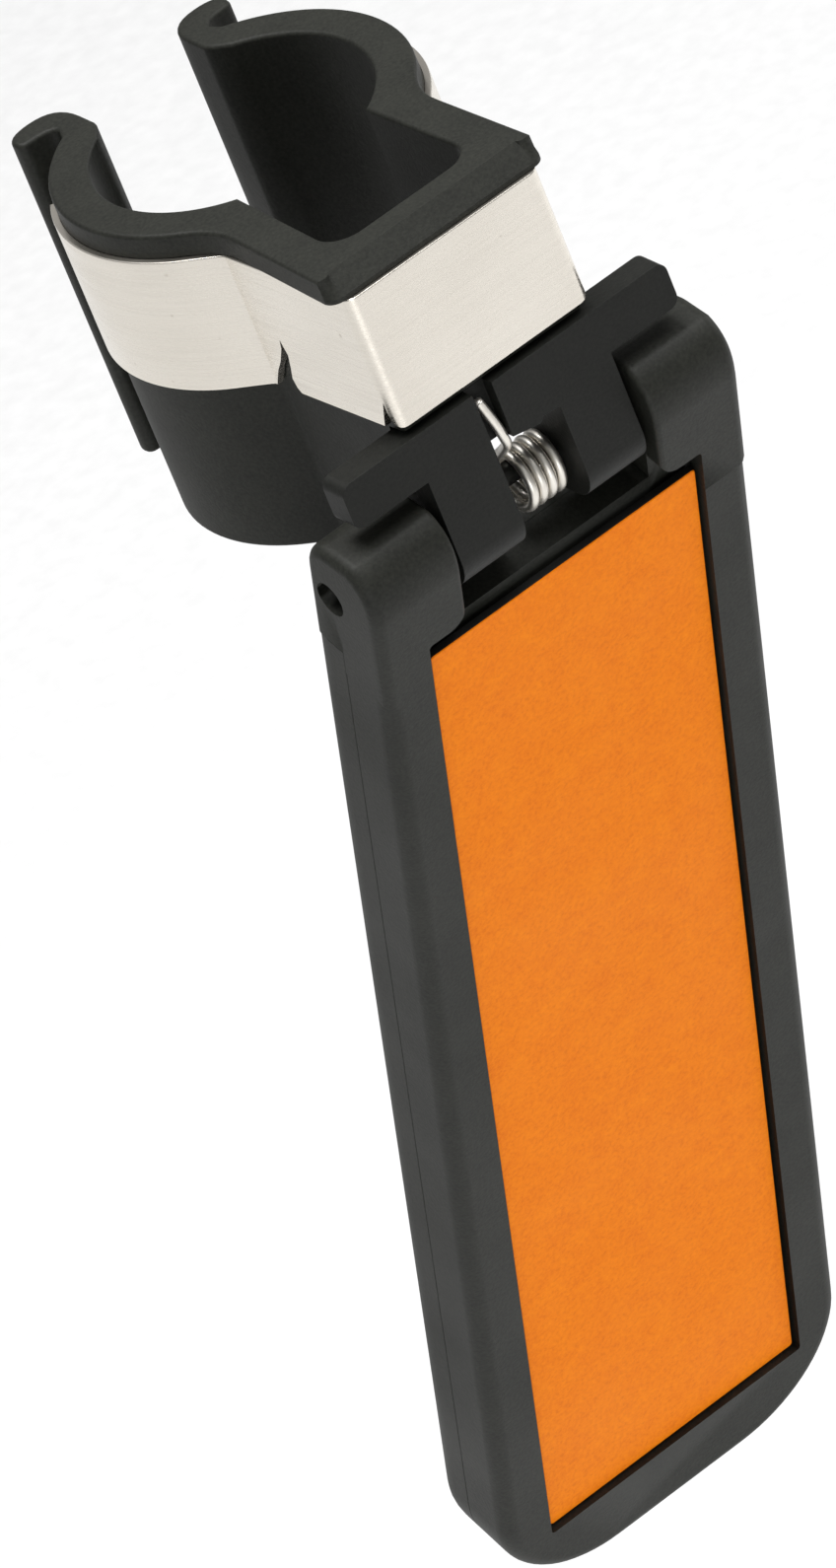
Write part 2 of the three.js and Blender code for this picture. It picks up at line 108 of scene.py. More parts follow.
# The room cut from the clip for the bracket and its knuckles, measured from the hinge axis.
BRACKET_GAP = 0.3
BAR_GAP = 0.2
KNUCKLE_ROOM_BACK = 2.6
KNUCKLE_ROOM_TOP = 4.8
BRACKET_SCREW_HOLE = 1.1
# Cutters reach this far, which is past the clip and past the flap's sides and top.
FAR = 40.0

# The outside of half the clip: round part, straight run to a crease, box side and box corner.
WALL_SIDE = {
    "radius": CLIP_RADIUS,
    "bend_reach": 2.1,
    "crease": (10.35, -12.73),
    "half_width": 9.5,
    "end": 29.15,
    "corner": 0.4,
}
RIM_SIDE = {
    "radius": CLIP_RADIUS + 0.2,
    "bend_reach": 3.5,
    "crease": (10.85, -15.5),
    "half_width": 11.3,
    "end": 29.55,
    "corner": 1.3,
}
CREASE_ROUND = 0.5

BAND_GAP = 0.12
BAND_THICKNESS = 0.68
BAND_TOP = CLIP_TOP - RIM_HEIGHT - 0.04
BAND_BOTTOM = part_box("steel_band")[0].z / MM
BAND_END_ANGLE = math.radians(34)
BAND_EDGE = 0.14
SLIT_INNER_X = 9.6
# The slits at the band's lower edge where the strip is bent, as (front, up) points.
CREASE_SLIT = [
    (12.9, 0.0),
    (13.3, 0.9),
    (14.3, 2.5),
    (15.3, 3.7),
    (16.3, 5.3),
    (16.6, 6.3),
    (16.95, 4.8),
    (16.5, 3.3),
    (16.1, 2.2),
    (16.3, 1.3),
    (17.1, 0.4),
    (17.2, 0.0),
]
CORNER_SLIT = [
    (27.6, 0.0),
    (28.3, 1.7),
    (28.8, 2.8),
    (29.1, 3.5),
    (29.12, 2.4),
    (29.22, 1.7),
    (29.4, 1.2),
    (29.8, 0.8),
    (30.0, 0.0),
]

BRACKET_FRONT = 5.05
BRACKET_BACK = 2.03
BRACKET_DROP = 2.5
BRACKET_SOFTNESS = 0.42
BAR_ROUND = 1.0
BAR_HALF_WIDTH = 17.3
BAR_BOTTOM = 6.95
BAR_TOP = 11.3
KNUCKLE_HALF_WIDTH = 9.8
KNUCKLE_FOOT = 4.4
KNUCKLE_FRONT_ROUND = 3.2
KNUCKLE_BACK_ROUND = 1.5
WINDOW_LEFT = -3.2
WINDOW_RIGHT = 3.7
WINDOW_TOP = 5.3
LEG_SLOT_RIGHT = -1.2
LEG_SLOT_FLOOR = 3.6
PIN_HOLE_RADIUS = 1.3
PIN_RADIUS = 1.0
PIN_HALF_LENGTH = 18.0
PIN_EDGE = 0.35
PIN_COUNTERBORE_RADIUS = 1.65
PIN_COUNTERBORE_DEPTH = 1.5

WIRE_RADIUS = 0.45
COIL_RADIUS = 2.45
COIL_PITCH = 1.0
COIL_CENTRE_FRONT = 0.15
COIL_CENTRE_UP = -0.95
COIL_FRONT_X = -0.25
COIL_START_ANGLE = math.radians(-235)
COIL_END_ANGLE = 7 * math.pi - FLAP_LEAN
COIL_STEPS_PER_TURN = 28
# The leg in the bracket's slot, as (x, y, z) from the hinge axis down to the coil.
BRACKET_LEG = [
    (-2.75, -4.4, 10.3),
    (-2.3, -4.4, 8.7),
    (-1.85, -4.4, 7.0),
    (-1.72, -4.35, 6.0),
    (-1.4, -3.95, 4.9),
    (-1.2, -2.34, 3.64),
    (-1.1, -0.7, 2.49),
]
FLAP_LEG_LENGTH = 8.7
LEG_HOLE_RADIUS = 0.7
LEG_HOLE_DEPTH = 3.2

FLAP_HALF_WIDTH = 19.6
FLAP_FRONT = 6.08
FLAP_BACK = -3.02
FLAP_END = 140.75
FLAP_CORNER = 12.3
FLAP_EDGE = 1.6
BACK_SIDE_EDGE = 1.0
BACK_END_EDGE = 2.0
PARTING_EDGE = 0.1
PARTING_GAP = 0.02
PARTING = 0.8
CROSSBAR_TOP = 6.3
REAR_SHELL_TOP = 6.33
KNUCKLE_BOTTOM = 6.3
FLAP_KNUCKLE_INNER = 10.5
FLAP_KNUCKLE_OUTER_EDGE = 1.1
FLAP_KNUCKLE_INNER_EDGE = 0.5
HOLLOW_TOP = 10.2
SIDE_WALL = 2.0
FRONT_WALL = 1.6
BACK_WALL = 1.5
RECESS_HALF_WIDTH = 14.7
RECESS_TOP = 5.1
RECESS_BOTTOM = 132.5
RECESS_FLOOR = 4.18
PLATE_HALF_WIDTH = 14.35
PLATE_TOP = 7.46
PLATE_BOTTOM = 132.2
PLATE_BACK = 4.68
PLATE_FRONT = 5.48
SHELL_SCREWS = [(-11.5, -24.0), (11.5, -24.0), (-11.5, -118.0), (11.5, -118.0)]
BRACKET_SCREWS = [-3.8, 3.8]
BRACKET_SCREW_Z = -2.3
# Screws and countersinks, as (distance in from the outer face, radius).
SHELL_SCREW_PROFILE = [(0.0, 1.9), (0.15, 1.9), (1.1, 0.9), (5.0, 0.9)]
SHELL_SCREW_SINK = 0.1
SHELL_RECESS_DEPTH = 0.7
SHELL_RECESS_SIZE = 1.15
COUNTERSINK_PROFILE = [(-0.5, 2.35), (0.25, 2.25), (1.2, 1.1), (4.0, 1.1)]
BRACKET_SCREW_PROFILE = [
    (-1.1, 0.9),
    (-1.0, 1.2),
    (-0.7, 1.5),
    (-0.3, 1.6),
    (0.0, 1.6),
    (0.01, 0.9),
    (3.8, 0.9),
]
BRACKET_SCREW_SINK = 0.1
BRACKET_RECESS_HEIGHT = 0.5
BRACKET_RECESS_SIZE = 0.95
SCREW_SIDES = 40

CAMERA_AZIMUTH = math.radians(-23.817)
CAMERA_ELEVATION = math.radians(31.647)
CAMERA_ROLL = math.radians(-22.806)
CAMERA_DISTANCE = 1.1333
CAMERA_LENS = 304.53
CAMERA_AIM = Vector((-3.61, 9.02, -54.25)) * MM

# Lights in metres and watts, as (name, place, size, power). The floor is pale paper.
LIGHTS = [
    ("key", (-0.15, 0.2, 1.5), 0.9, 24),
    ("top_front", (0.4, -0.5, 1.35), 0.8, 11),
    ("front", (-0.7, -1.3, -0.25), 0.8, 5.5),
    ("side", (1.4, 0.1, 0.4), 0.9, 5),
]
WORLD_STRENGTH = 0.32
FLOOR_DROP = 0.3
FLOOR_HALF_WIDTH = 6.0


# ---------- outlines ----------


def on_circle(radius, angle, centre=(0.0, 0.0)):
    return (centre[0] + radius * math.cos(angle), centre[1] + radius * math.sin(angle))


def arc(centre, radius, start, end, steps):
    """Points of a circle's arc, both ends included."""
    return [on_circle(radius, start + (end - start) * i / steps, centre) for i in range(steps + 1)]


def circle(centre, radius, sides):
    return arc(centre, radius, 0, 2 * math.pi, sides)[:-1]


def bow(start, handle, end, steps=8):
    """Points of a quadratic curve, without its first one."""
    points = []
    for i in range(1, steps + 1):
        t = i / steps
        a, b, c = (1 - t) ** 2, 2 * t * (1 - t), t * t
        points.append(tuple(a * s + b * h + c * e for s, h, e in zip(start, handle, end)))
    return points


def mirrored(points):
    return [(-x, y) for x, y in reversed(points)]


def rectangle(low, high):
    return [low, (high[0], low[1]), high, (low[0], high[1])]


def rounded_box(low, high, radius, steps=5):
    """A rectangle with round corners, anticlockwise."""
    quarter = math.pi / 2
    corners = [
        ((low[0] + radius, low[1] + radius), math.pi),
        ((high[0] - radius, low[1] + radius), 3 * quarter),
        ((high[0] - radius, high[1] - radius), 0.0),
        ((low[0] + radius, high[1] - radius), quarter),
    ]
    return [p for centre, start in corners for p in arc(centre, radius, start, start + quarter, steps)]


def inset(outline, amounts):
    """The outline moved inwards, each point by its own amount. The outline runs anticlockwise."""
    moved = []
    count = len(outline)
    for i, point in enumerate(outline):
        before = Vector(outline[i - 1])
        here = Vector(point)
        after = Vector(outline[(i + 1) % count])
        first = (here - before).normalized()
        second = (after - here).normalized()
        left = Vector((-first.y, first.x)) + Vector((-second.y, second.x))
        spread = max(left.length / 2, 0.5)
        moved.append(tuple(here + left.normalized() * (amounts[i] / spread)))
    return moved


def is_anticlockwise(outline):
    area = sum(a[0] * b[1] - b[0] * a[1] for a, b in zip(outline, outline[1:] + outline[:1]))
    return area > 0


# ---------- meshes ----------


def along_z(u, v, height):
    return (u, v, height)


def along_x(front, up, x):
    return (x, -front, up)


def along_front(x, up, front):
    return (x, -front, up)


def mesh_object(name, verts, faces, place):
    mesh = bpy.data.meshes.new(name)
    mesh.from_pydata([Vector(v) * MM for v in verts], [], faces)
    mesh.transform(place)
    shape = bmesh.new()
    shape.from_mesh(mesh)
    bmesh.ops.recalc_face_normals(shape, faces=shape.faces)
    shape.to_mesh(mesh)
    shape.free()
    piece = bpy.data.objects.new(name, mesh)
    bpy.context.scene.collection.objects.link(piece)
    return piece


def loft(name, levels, direction, place):
    """A closed solid through outlines with equal point counts, one for each (height, outline)."""
    count = len(levels[0][1])
    verts = [direction(u, v, height) for height, outline in levels for u, v in outline]
    faces = [tuple(range(count))]
    for level in range(len(levels) - 1):
        base = level * count
        for i in range(count):
            j = (i + 1) % count
            faces.append((base + i, base + j, base + count + j, base + count + i))
    faces.append(tuple(range((len(levels) - 1) * count, len(levels) * count)))
    return mesh_object(name, verts, faces, place)


def rounded_levels(outline, low, high, low_edge, high_edge, steps=4):
    """Levels of a prism whose lower and upper edges are round. An edge is a radius for all
    points or one for each."""
    if not is_anticlockwise(outline):
        outline = outline[::-1]
    low_radii = low_edge if isinstance(low_edge, list) else [low_edge] * len(outline)
    high_radii = high_edge if isinstance(high_edge, list) else [high_edge] * len(outline)
    levels = []
    for i in range(steps + 1):
        angle = math.pi / 2 * i / steps
        moved = inset(outline, [r * (1 - math.sin(angle)) for r in low_radii])
        levels.append((low + max(low_radii) * (1 - math.cos(angle)), moved))
    for i in range(steps + 1):
        angle = math.pi / 2 * i / steps
        moved = inset(outline, [r * (1 - math.cos(angle)) for r in high_radii])
        levels.append((high - max(high_radii) * (1 - math.sin(angle)), moved))
    return levels


def prism(name, outline, low, high, direction, place, low_edge=0.0, high_edge=0.0):
    if low_edge == 0.0 and high_edge == 0.0:
        return loft(name, [(low, outline), (high, outline)], direction, place)
    levels = rounded_levels(outline, low, high, low_edge, high_edge)
    return loft(name, levels, direction, place)


def round_bar(name, radius, low, high, centre, direction, place, edge=0.0, sides=48):
    return prism(name, circle(centre, radius, sides), low, high, direction, place, edge, edge)


def turned(name, profile, face, centre, place):
    """A round solid that follows the profile inwards from a face."""
    levels = [(face + depth, circle(centre, radius, SCREW_SIDES)) for depth, radius in profile]
    return loft(name, levels, along_front, place)


def combine(piece, others, operation):
    """Joins to the piece, or cuts from it, each of the other solids."""
    for other in others:
        step = piece.modifiers.new("step", "BOOLEAN")
        step.operation = operation
        step.solver = "EXACT"
        step.object = other
        graph = bpy.context.evaluated_depsgraph_get()
        made = bpy.data.meshes.new_from_object(piece.evaluated_get(graph))
        piece.modifiers.clear()
        old = piece.data
        piece.data = made
        bpy.data.meshes.remove(old)
        bpy.data.objects.remove(other)
    return piece


def cut(piece, cutters):
    return combine(piece, cutters, "DIFFERENCE")


def join(piece, others):
    return combine(piece, others, "UNION")


def soften(piece, width, segments=3, angle=35):
    """Rounds the edges that are sharper than the angle, and shades the rest smooth."""
    for face in piece.data.polygons:
        face.use_smooth = True
    bevel = piece.modifiers.new("soft_edges", "BEVEL")
    bevel.width = width * MM
    bevel.segments = segments
    bevel.limit_method = "ANGLE"
    bevel.angle_limit = math.radians(angle)
    bevel.miter_outer = "MITER_ARC"
    normals = piece.modifiers.new("flat_faces", "WEIGHTED_NORMAL")
    normals.mode = "FACE_AREA"
    normals.keep_sharp = True
    return piece


def finish_piece(piece, body, material, slot, *nodes):
    piece.data.materials.clear()
    piece.data.materials.append(material)
    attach(piece, body)
    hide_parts(*nodes)
    return piece


# ---------- materials ----------


class Shader:
    """A material's node tree with short calls for the nodes that it uses."""

    def __init__(self, name):
        self.material = bpy.data.materials.new(name)
        self.material.use_nodes = True
        self.tree = self.material.node_tree
        self.surface = self.tree.nodes["Principled BSDF"]
        self.place = self.add("ShaderNodeTexCoord").outputs["Object"]

    def add(self, kind, **settings):
        node = self.tree.nodes.new(kind)
        for key, value in settings.items():
            setattr(node, key, value)
        return node

    def link(self, out, into):
        self.tree.links.new(out, into)

    def set(self, **values):
        for name, value in values.items():
            self.surface.inputs[name.replace("_", " ")].default_value = value

    def noise(self, scale, detail=2.0, roughness=0.5, stretch=(1.0, 1.0, 1.0)):
        mapping = self.add("ShaderNodeMapping")
        mapping.inputs["Scale"].default_value = stretch
        self.link(self.place, mapping.inputs["Vector"])
        node = self.add("ShaderNodeTexNoise")
        node.inputs["Scale"].default_value = scale
        node.inputs["Detail"].default_value = detail
        node.inputs["Roughness"].default_value = roughness
        self.link(mapping.outputs["Vector"], node.inputs["Vector"])
        return node.outputs["Fac"]

    def ramp(self, value, stops):
        node = self.add("ShaderNodeValToRGB")
        elements = node.color_ramp.elements
        while len(elements) < len(stops):
            elements.new(0.5)
        for element, (position, colour) in zip(elements, stops):
            element.position = position
            element.color = (*colour, 1.0)
        self.link(value, node.inputs["Fac"])
        return node.outputs["Color"]

    def spread(self, value, low, high):
        node = self.add("ShaderNodeMapRange")
        node.inputs["From Min"].default_value = 0.3
        node.inputs["From Max"].default_value = 0.7
        node.inputs["To Min"].default_value = low
        node.inputs["To Max"].default_value = high
        self.link(value, node.inputs["Value"])
        return node.outputs["Result"]

    def blend(self, share, first, second, mode="MIX"):
        node = self.add("ShaderNodeMix", data_type="RGBA", blend_type=mode)
        node.inputs["Factor"].default_value = share
        self.link(first, node.inputs["A"])
        self.link(second, node.inputs["B"])
        return node.outputs["Result"]

    def bump(self, heights):
        """Chains bumps, each given as (height, strength, distance in millimetres)."""
        normal = None
        for height, strength, distance in heights:
            node = self.add("ShaderNodeBump")
            node.inputs["Strength"].default_value = strength
            node.inputs["Distance"].default_value = distance * MM
            self.link(height, node.inputs["Height"])
            if normal is not None:
                self.link(normal, node.inputs["Normal"])
            normal = node.outputs["Normal"]
        self.link(normal, self.surface.inputs["Normal"])


def make_plastic(name, dark, light, roughness):
    """Moulded plastic with a spark-eroded grain and slight handling marks."""
    shader = Shader(name)
    grain = shader.noise(3200, 3, 0.6)
    patches = shader.noise(240, 4, 0.6)
    clouds = shader.noise(45, 3, 0.5)
    fine = shader.ramp(grain, [(0.3, dark), (0.72, light)])
    broad = shader.ramp(patches, [(0.25, dark), (0.8, light)])
    shader.link(shader.blend(0.35, fine, broad), shader.surface.inputs["Base Color"])
    gloss = shader.spread(clouds, roughness - 0.05, roughness + 0.06)
    shader.link(gloss, shader.surface.inputs["Roughness"])
    shader.bump([(grain, 0.55, 0.05), (patches, 0.25, 0.03)])
    shader.set(Specular_IOR_Level=0.25)
    return shader.material


def make_band_steel():
    """Polished strip with faint rolling lines along its length and a few specks."""
    shader = Shader("band_steel")
    lines = shader.noise(1.0, 3, 0.55, (90, 90, 5200))
    specks = shader.noise(900, 2, 0.4)
    clouds = shader.noise(70, 3, 0.5)
    tint = shader.ramp(clouds, [(0.3, (0.76, 0.715, 0.64)), (0.7, (0.82, 0.775, 0.70))])
    marks = shader.ramp(specks, [(0.72, (1.0, 1.0, 1.0)), (0.8, (0.72, 0.7, 0.68))])
    shader.link(shader.blend(1.0, tint, marks, "MULTIPLY"), shader.surface.inputs["Base Color"])
    shader.link(shader.spread(lines, 0.2, 0.34), shader.surface.inputs["Roughness"])
    shader.bump([(lines, 0.03, 0.01), (clouds, 0.06, 0.02)])
    shader.set(Metallic=1.0)
    return shader.material


def make_spring_steel(name, dark, light):
    """Drawn steel with fine pits: bright for the wire and screws, near-black for the pin as painted
    shade of the shadow it sits in.
    """
    shader = Shader(name)
    pits = shader.noise(1500, 3, 0.6)
    clouds = shader.noise(500, 2, 0.5)
    tint = shader.ramp(clouds, [(0.3, dark), (0.7, light)])
    shader.link(tint, shader.surface.inputs["Base Color"])
    shader.link(shader.spread(pits, 0.36, 0.46), shader.surface.inputs["Roughness"])
    shader.bump([(pits, 0.05, 0.01)])
    shader.set(Metallic=1.0)
    return shader.material


def make_orange_plate():
    """Orange sheet with a fine grain of lighter and darker specks."""
    shader = Shader("orange_plate")
    grain = shader.noise(2400, 4, 0.7)
    mottle = shader.noise(420, 4, 0.65)
    clouds = shader.noise(38, 3, 0.5)
    fine_stops = [
        (0.3, (0.74, 0.148, 0.001)),
        (0.5, (0.9, 0.215, 0.002)),
        (0.72, (0.98, 0.29, 0.004)),
    ]
    fine = shader.ramp(grain, fine_stops)
    broad = shader.ramp(mottle, [(0.3, (0.82, 0.178, 0.001)), (0.7, (0.96, 0.264, 0.003))])
    shader.link(shader.blend(0.4, fine, broad), shader.surface.inputs["Base Color"])
    shader.link(shader.spread(clouds, 0.5, 0.62), shader.surface.inputs["Roughness"])
    shader.bump([(grain, 0.35, 0.04), (mottle, 0.15, 0.04)])
    shader.set(Specular_IOR_Level=0.08)
    return shader.material


def make_tape():
    """Off-white film with faint fibres."""
    shader = Shader("white_tape")
    fibres = shader.noise(1500, 3, 0.6)
    tint = shader.ramp(fibres, [(0.3, (0.70, 0.69, 0.64)), (0.7, (0.82, 0.81, 0.77))])
    shader.link(tint, shader.surface.inputs["Base Color"])
    shader.link(shader.spread(fibres, 0.6, 0.8), shader.surface.inputs["Roughness"])
    shader.bump([(fibres, 0.3, 0.05)])
    return shader.material


def make_floor_material():
    """Matt white paper with a faint fibre pattern."""
    shader = Shader("floor_paper")
    fibres = shader.noise(300, 3, 0.5)
    tint = shader.ramp(fibres, [(0.3, (0.88, 0.88, 0.88)), (0.7, (0.93, 0.93, 0.93))])
    shader.link(tint, shader.surface.inputs["Base Color"])
    shader.set(Roughness=0.9, Specular_IOR_Level=0.1)
    return shader.material


BLACK = make_plastic("black_plastic", (0.0075, 0.0079, 0.006), (0.025, 0.026, 0.0205), 0.56)
# The bracket's plastic is a darker copy of the black plastic: the extra darkness is painted shade on
# the bracket's front faces.
BRACKET_SHADED_BLACK = make_plastic("bracket_plastic_painted_shade", (0.004, 0.0043, 0.0034), (0.013, 0.0135, 0.011), 0.56)
PLATE_EDGE = make_plastic("plate_edge", (0.003, 0.003, 0.0025), (0.008, 0.008, 0.007), 0.7)
BAND_STEEL = make_band_steel()
SPRING_STEEL = make_spring_steel("spring_steel", (0.72, 0.685, 0.62), (0.84, 0.81, 0.75))
# The pin's steel is near-black as painted shade: the pin sits in shadow between the knuckles.
PIN_SHADED_STEEL = make_spring_steel("pin_steel_painted_shade", (0.03, 0.03, 0.028), (0.06, 0.06, 0.056))
ORANGE = make_orange_plate()
TAPE = make_tape()


# ---------- clip ----------


def outer_side(start_angle, side):
    """The clip's outside from a point on its round part, past the neck, to the box end's middle."""
    neck = Vector(on_circle(side["radius"], NECK_ANGLE))
    bend = neck + Vector((math.sin(NECK_ANGLE), -math.cos(NECK_ANGLE))) * side["bend_reach"]
    crease = Vector(side["crease"])
    before = crease + (bend - crease).normalized() * CREASE_ROUND
    after = crease - Vector((0, CREASE_ROUND))
    corner = side["corner"]
    points = arc((0, 0), side["radius"], start_angle, NECK_ANGLE, 28)
    points += bow(neck, bend, before, 10)
    points += bow(before, crease, after, 5)
    points += arc((side["half_width"] - corner, -side["end"] + corner), corner, 0, -math.pi / 2, 8)
    return points + [(0, -side["end"])]


def clip_inside():
    """Half of the clip's inside, from the box channel's end to the throat."""
    waist_y = -math.sqrt(SEAT_RADIUS**2 - WAIST_HALF_WIDTH**2)
    waist_angle = math.atan2(waist_y, WAIST_HALF_WIDTH)
    centre = (CHANNEL_HALF_WIDTH - CHANNEL_CORNER, -CHANNEL_END + CHANNEL_CORNER)
    points = [(0, -CHANNEL_END)]
    points += arc(centre, CHANNEL_CORNER, -math.pi / 2, 0, 8)
    points += arc((0, 0), SEAT_RADIUS, waist_angle, THROAT_ANGLE, 40)
    throat = (THROAT_HALF_WIDTH, THROAT_START)
    return points + bow(points[-1], (THROAT_HALF_WIDTH, THROAT_START - THROAT_BEND), throat, 4)


def clip_lip():
    """The hooked lip, from the throat round its tip and back into the notch behind it."""
    throat_end = (THROAT_HALF_WIDTH, LIP_BACK - 1)
    tip = (LIP_REACH - LIP_TIP_ROUND, LIP_TIP)
    side = (LIP_REACH, LIP_BACK + 1)
    back = (LIP_REACH - LIP_BACK_ROUND, LIP_BACK)
    points = [throat_end]
    points += bow(throat_end, (THROAT_HALF_WIDTH, LIP_TIP), tip)
    points += bow(tip, (LIP_REACH, LIP_TIP), side)
    points += bow(side, (LIP_REACH, LIP_BACK), back, 4)
    return points + bow(back, (NOTCH_X, LIP_BACK), (NOTCH_X, NOTCH_Y), 6)


def clip_outline(side):
    """The whole section, with a list that says which of its points are on the outside."""
    inside = clip_inside() + clip_lip()
    outside = outer_side(LIP_ANGLE, side)
    half = inside + outside
    outer = [False] * len(inside) + [True] * len(outside)
    outline = half + mirrored(half[1:-1])
    return outline, outer + outer[1:-1][::-1]


def rim_levels(outline, outer, low):
    """Levels of the rim: fine round edges on top, and a steep chamfer across its front."""
    levels = []
    chamfer_low = CLIP_TOP - RIM_CHAMFER_HEIGHT
    chamfer_run = RIM_SIDE["end"] - RIM_CHAMFER_START
    edge_heights = [CLIP_TOP - RIM_EDGE * (1 - math.sin(math.pi / 12 * i)) for i in range(7)]
    for height in [low, chamfer_low, *edge_heights]:
        rise = max(0.0, height - CLIP_TOP + RIM_EDGE)
        edge = RIM_EDGE - math.sqrt(max(0.0, RIM_EDGE**2 - rise**2))
        slope = RIM_CHAMFER_DEPTH * max(0.0, height - chamfer_low) / RIM_CHAMFER_HEIGHT
        amounts = []
        for (_, y), is_outer in zip(outline, outer):
            front = min(1.0, max(0.0, (-y - RIM_CHAMFER_START) / chamfer_run))
            amounts.append(max(edge, slope * front) if is_outer else edge)
        levels.append((height, inset(outline, amounts)))
    return levels


def make_clip_body():
    wall, outer = clip_outline(WALL_SIDE)
    rim, _ = clip_outline(RIM_SIDE)
    if not is_anticlockwise(wall):
        wall, rim, outer = wall[::-1], rim[::-1], outer[::-1]
    rim_bottom = CLIP_TOP - RIM_HEIGHT
    steps = 4
    lower_edge_levels = rounded_levels(wall, CLIP_BOTTOM, rim_bottom, LOWER_EDGE, 0.0, steps)
    levels = lower_edge_levels[: steps + 2]
    levels += rim_levels(rim, outer, rim_bottom)
    body = loft("clip_moulding", levels, along_z, CLIP_PLACE)
    hinge_y = HINGE.y / MM
    hinge_z = HINGE.z / MM
    step = rectangle((-FAR, -FAR), (FAR, hinge_y - BRACKET_BACK + BRACKET_GAP))
    room = rectangle((-FAR, -FAR), (FAR, hinge_y + KNUCKLE_ROOM_BACK))
    cutters = [
        prism("step", step, -FAR, hinge_z + BAR_TOP + BAR_GAP, along_z, CLIP_PLACE),
        prism("room", room, -FAR, hinge_z + KNUCKLE_ROOM_TOP, along_z, CLIP_PLACE),
    ]
    for x in BRACKET_SCREWS:
        centre = (x, BRACKET_SCREW_Z)
        hole = round_bar("hole", BRACKET_SCREW_HOLE, SEAT_RADIUS, FAR, centre, along_front, CLIP_PLACE)
        cutters.append(hole)
    cut(body, cutters)
    soften(body, CLIP_SOFTNESS)
    finish_piece(body, "clip", BLACK, "black_plastic", "clip_body")


def band_side(offset):
    """The clip wall's outside moved outwards."""
    crease_x, crease_y = WALL_SIDE["crease"]
    return {
        "radius": WALL_SIDE["radius"] + offset,
        "bend_reach": WALL_SIDE["bend_reach"],
        "crease": (crease_x + offset, crease_y + offset * math.tan(NECK_ANGLE / 2)),
        "half_width": WALL_SIDE["half_width"] + offset,
        "end": WALL_SIDE["end"] + offset,
        "corner": WALL_SIDE["corner"] + offset,
    }


def make_steel_band():
    faces = []
    for offset in (BAND_GAP, BAND_GAP + BAND_THICKNESS):
        half = outer_side(BAND_END_ANGLE, band_side(offset))
        faces.append(half + mirrored(half[:-1]))
    outline = faces[1] + faces[0][::-1]
    levels = rounded_levels(outline, BAND_BOTTOM, BAND_TOP, BAND_EDGE, BAND_EDGE, 2)
    band = loft("band_strip", levels, along_z, CLIP_PLACE)
    slits = []
    for low, high in ((-FAR, -SLIT_INNER_X), (SLIT_INNER_X, FAR)):
        for slit in (CREASE_SLIT, CORNER_SLIT):
            slits.append(prism("slit", slit, low, high, along_x, CLIP_PLACE))
    cut(band, slits)
    soften(band, 0.1, 2)
    finish_piece(band, "clip", BAND_STEEL, "band_steel", "steel_band")


# ---------- hinge bracket ----------


def bracket_face():
    """The bar with the plate below it, seen from the front."""
    bar = BAR_HALF_WIDTH
    plate = KNUCKLE_HALF_WIDTH
    low = BAR_BOTTOM - BRACKET_DROP
    end = bar - BAR_ROUND
    half = [(0, low), (plate, low), (plate, BAR_BOTTOM)]
    half += arc((end, BAR_BOTTOM + BAR_ROUND), BAR_ROUND, -math.pi / 2, 0, 6)
    half += arc((end, BAR_TOP - BAR_ROUND), BAR_ROUND, 0, math.pi / 2, 6)
    return half + mirrored(half)[:-1]


def knuckle_section():
    """The bracket's knuckle, as (front, up) points about the hinge axis."""
    foot = KNUCKLE_FOOT
    points = [(BRACKET_FRONT, 7.5)]
    front = KNUCKLE_FRONT_ROUND
    back = KNUCKLE_BACK_ROUND
    points += arc((BRACKET_FRONT - front, front - foot), front, 0, -math.pi / 2, 10)
    points += arc((-0.8, back - foot), back, -math.pi / 2, -math.pi, 5)
    points += [(-2.3, 2.6), (0.0, 4.2), (BRACKET_BACK, 4.4), (BRACKET_BACK, 7.5)]
    return points


def make_hinge_bracket():
    face = bracket_face()
    bracket = prism("bracket_moulding", face, BRACKET_BACK, BRACKET_FRONT, along_front, HINGE_PLACE)
    half = KNUCKLE_HALF_WIDTH
    knuckles = prism("knuckles", knuckle_section(), -half, half, along_x, HINGE_PLACE)
    join(bracket, [knuckles])
    window = [
        (WINDOW_LEFT, -FAR),
        (WINDOW_RIGHT, -FAR),
        (WINDOW_RIGHT, WINDOW_TOP + 0.3),
        (WINDOW_RIGHT - 1.7, WINDOW_TOP + 0.45),
        (WINDOW_RIGHT - 2.1, WINDOW_TOP),
        (LEG_SLOT_RIGHT, WINDOW_TOP + 0.5),
        (WINDOW_LEFT, WINDOW_TOP + 0.5),
    ]
    slot = rectangle((WINDOW_LEFT, WINDOW_TOP - 1), (LEG_SLOT_RIGHT, FAR))
    cutters = [
        prism("window", window, -FAR, FAR, along_front, HINGE_PLACE),
        prism("slot", slot, LEG_SLOT_FLOOR, FAR, along_front, HINGE_PLACE),
        round_bar("bore", PIN_HOLE_RADIUS, -FAR, FAR, (0, 0), along_x, HINGE_PLACE),
    ]
    cut(bracket, cutters)
    soften(bracket, BRACKET_SOFTNESS)
    # The bracket's darker plastic is painted shade.
    finish_piece(bracket, "clip", BRACKET_SHADED_BLACK, "black_plastic", "hinge_bracket")


# ---------- pin, spring and screws ----------


def make_hinge_pin():
    half = PIN_HALF_LENGTH
    pin = round_bar("pin", PIN_RADIUS, -half, half, (0, 0), along_x, FLAP_PLACE, PIN_EDGE)
    soften(pin, 0.05, 2)
    # The pin's near-black steel is painted shade.
    finish_piece(pin, "flap", PIN_SHADED_STEEL, "spring_steel", "hinge_pin")


def on_coil(angle):
    """Where the coil's wire is at an angle about its centre, from the front over the top."""
    return Vector(
        (
            COIL_FRONT_X + COIL_PITCH * angle / (2 * math.pi),
            -COIL_CENTRE_FRONT - COIL_RADIUS * math.cos(angle),
            COIL_CENTRE_UP + COIL_RADIUS * math.sin(angle),
        )
    )


